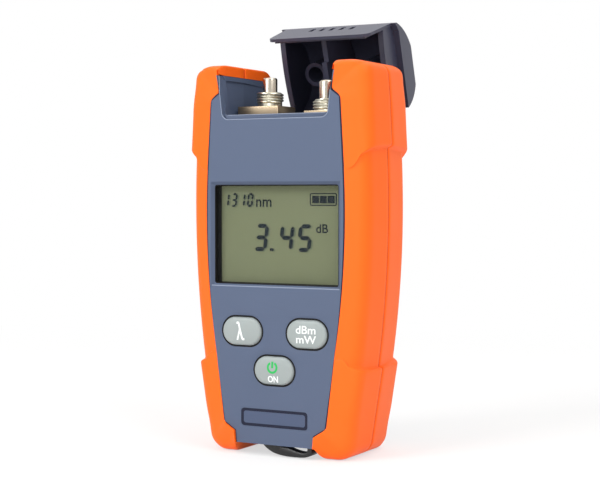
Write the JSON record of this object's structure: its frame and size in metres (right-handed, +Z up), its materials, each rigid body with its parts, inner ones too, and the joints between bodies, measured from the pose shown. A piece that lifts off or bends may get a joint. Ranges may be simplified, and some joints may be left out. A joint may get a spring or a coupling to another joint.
{
  "type": "optical power meter",
  "caption": "Handheld fibre power meter with a display, sprung buttons, soft side bumpers and threaded ports under a hinged dust cover.",
  "frame": {"origin": "on the floor under the middle of the meter's box, with the dust cover open as at rest", "axes": "+Z up from the feet, +Y from the display towards the back, +X to the right of the display as seen by the user"},
  "size_m": [0.0606, 0.0558, 0.1265],
  "materials": {
    "case": "fine moulded texture",
    "bumper": "soft satin",
    "cover": "fine moulded texture",
    "badge": "satin",
    "window": "clear, anti-glare",
    "panel": "liquid crystal panel",
    "inner_plastic": "moulded",
    "board": "solder mask",
    "key": "smooth satin",
    "nickel": "turned, nickel plated",
    "steel": "bright",
    "cell": "printed sleeve",
    "strap": "glossy"
  },
  "bodies": {
    "case": {"front_shell": "case", "rear_shell": "case", "battery_door": "case", "front_left_bumper": "bumper", "front_right_bumper": "bumper", "rear_left_bumper": "bumper", "rear_right_bumper": "bumper", "name_plate": "badge", "display_window": "window", "display_panel": "panel", "display_frame": "inner_plastic", "circuit_board": "board", "tact_switches": "inner_plastic", "detector_port": "nickel", "laser_port": "nickel", "detector_sleeve": "nickel", "laser_sleeve": "nickel", "detector_module": "steel", "laser_module": "steel", "hinge_pin": "steel", "case_screws": "steel", "door_screw": "steel", "left_cell": "cell", "right_cell": "cell", "spring_contacts": "steel", "top_contact": "steel", "lanyard_loop": "strap"},
    "cover": {"dust_cover": "cover"},
    "wavelength_key": {"wavelength_button": "key"},
    "unit_key": {"unit_button": "key"},
    "power_key": {"power_button": "key"}
  },
  "joints": [
    {"name": "cover_hinge", "type": "hinge", "parent": "case", "child": "cover", "pos_m": [0, 0.00264, 0.09142], "axis": [1, 0, 0], "range_deg": [0, 72]},
    {"name": "wavelength_key_press", "type": "slide", "parent": "case", "child": "wavelength_key", "axis": [0, 1, 0], "range_m": [0, 0.0005], "stiffness_N_per_m": 700, "springref_m": -0.0004},
    {"name": "unit_key_press", "type": "slide", "parent": "case", "child": "unit_key", "axis": [0, 1, 0], "range_m": [0, 0.0005], "stiffness_N_per_m": 700, "springref_m": -0.0004},
    {"name": "power_key_press", "type": "slide", "parent": "case", "child": "power_key", "axis": [0, 1, 0], "range_m": [0, 0.0005], "stiffness_N_per_m": 700, "springref_m": -0.0004}
  ]
}
